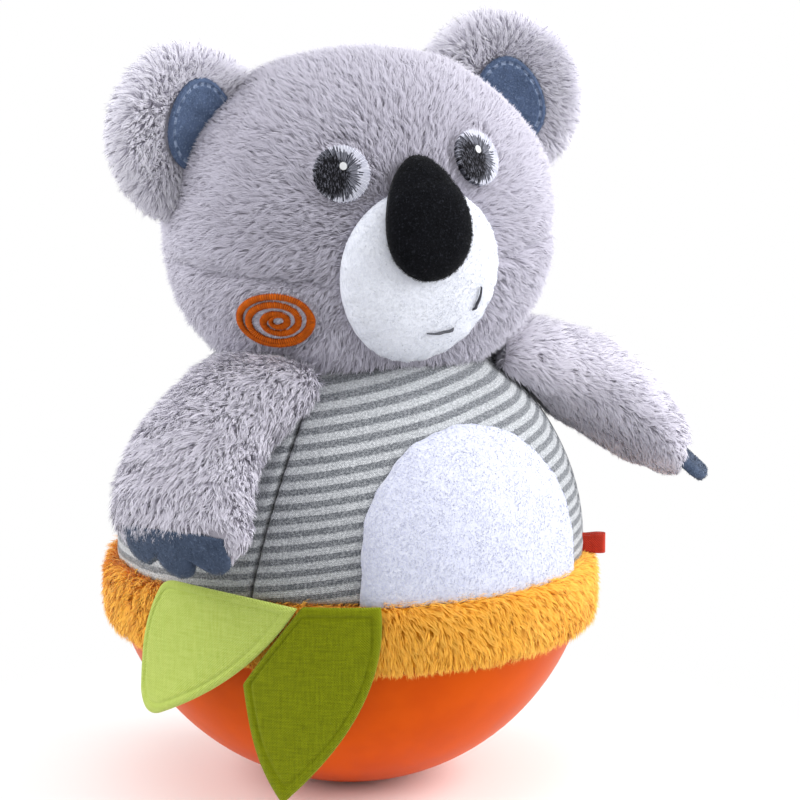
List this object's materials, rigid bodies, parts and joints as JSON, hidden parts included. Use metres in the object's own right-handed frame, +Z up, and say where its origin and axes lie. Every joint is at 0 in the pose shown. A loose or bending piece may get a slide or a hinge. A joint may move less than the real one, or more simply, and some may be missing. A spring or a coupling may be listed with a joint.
{
  "type": "roly-poly toy",
  "caption": "Round-bottomed wobble toy: a stuffed koala with soft arms on a weighted plastic bowl that swings back upright and chimes.",
  "frame": {"origin": "middle of the small flat that the bowl rests on, on the floor", "axes": "+Z up, the body's front faces -Y, the toy's left is +X"},
  "size_m": [0.1615, 0.1244, 0.1915],
  "materials": {
    "orange_plastic": "satin moulded plastic",
    "cast_weight": "as cast",
    "screw_steel": "zinc plated",
    "white_plastic": "plain moulded plastic",
    "tie_nylon": "plain nylon",
    "bar_steel": "bright steel",
    "clapper_brass": "plain brass",
    "yellow_plush": "short plush pile",
    "wadding": "loose fibre",
    "striped_jersey": "knitted heather grey and white stripes",
    "white_minky": "short smooth pile",
    "grey_plush": "long soft pile",
    "pale_plush": "long soft pile",
    "white_velour": "smooth velour",
    "black_felt": "soft felt",
    "eye_thread": "satin-stitch embroidery",
    "grey_thread": "embroidery thread",
    "rust_thread": "embroidery thread",
    "blue_felt": "soft felt",
    "slate_felt": "soft felt",
    "light_leaf_cloth": "woven cotton",
    "dark_leaf_cloth": "woven cotton",
    "red_ribbon": "woven ribbon"
  },
  "bodies": {
    "toy": {"base_bowl": "orange_plastic", "ballast_weight": "cast_weight", "weight_screw": "screw_steel", "chime_holder": "white_plastic", "tone_bars": "bar_steel", "base_lid": "white_plastic", "lid_screws": "screw_steel", "cover_tie": "tie_nylon", "plush_band": "yellow_plush", "body_stuffing": "wadding", "front_panel": "striped_jersey", "back_panel": "striped_jersey", "tummy_patch": "white_minky", "head": "grey_plush", "muzzle": "white_velour", "nose": "black_felt", "right_eye": "eye_thread", "left_eye": "eye_thread", "smile_stitches": "grey_thread", "cheek_swirl": "rust_thread", "right_ear": "pale_plush", "left_ear": "pale_plush", "right_ear_lining": "blue_felt", "left_ear_lining": "blue_felt", "ribbon_tag": "red_ribbon"},
    "right_arm": {"right_arm": "grey_plush", "right_claws": "slate_felt"},
    "left_arm": {"left_arm": "grey_plush", "left_claws": "slate_felt"},
    "light_leaf": {"light_leaf": "light_leaf_cloth"},
    "dark_leaf": {"dark_leaf": "dark_leaf_cloth"},
    "clapper_link": {"clapper_link": "clapper_brass"},
    "clapper": {"clapper": "clapper_brass"}
  },
  "joints": [
    {"name": "right_shoulder", "type": "hinge", "parent": "toy", "child": "right_arm", "pos_m": [-0.03314, -0.01407, 0.10671], "axis": [-0.3907, 0.9205, 0], "range_deg": [0, 45]},
    {"name": "left_shoulder", "type": "hinge", "parent": "toy", "child": "left_arm", "pos_m": [0.03314, -0.01407, 0.10671], "axis": [-0.3907, -0.9205, 0], "range_deg": [-12, 33]},
    {"name": "light_leaf_seam", "type": "hinge", "parent": "toy", "child": "light_leaf", "pos_m": [-0.05578, -0.03003, 0.0579], "axis": [-0.4741, 0.8805, 0], "range_deg": [0, 75]},
    {"name": "dark_leaf_seam", "type": "hinge", "parent": "toy", "child": "dark_leaf", "pos_m": [-0.03634, -0.05189, 0.0579], "axis": [-0.8191, 0.5736, 0], "range_deg": [0, 75]},
    {"name": "link_swing", "type": "hinge", "parent": "toy", "child": "clapper_link", "pos_m": [0, 0, 0.046], "axis": [1, 0, 0], "range_deg": [-15, 15]},
    {"name": "clapper_swing", "type": "hinge", "parent": "clapper_link", "child": "clapper", "pos_m": [0, 0, 0.04125], "axis": [0, 1, 0], "range_deg": [-22, 22]}
  ]
}
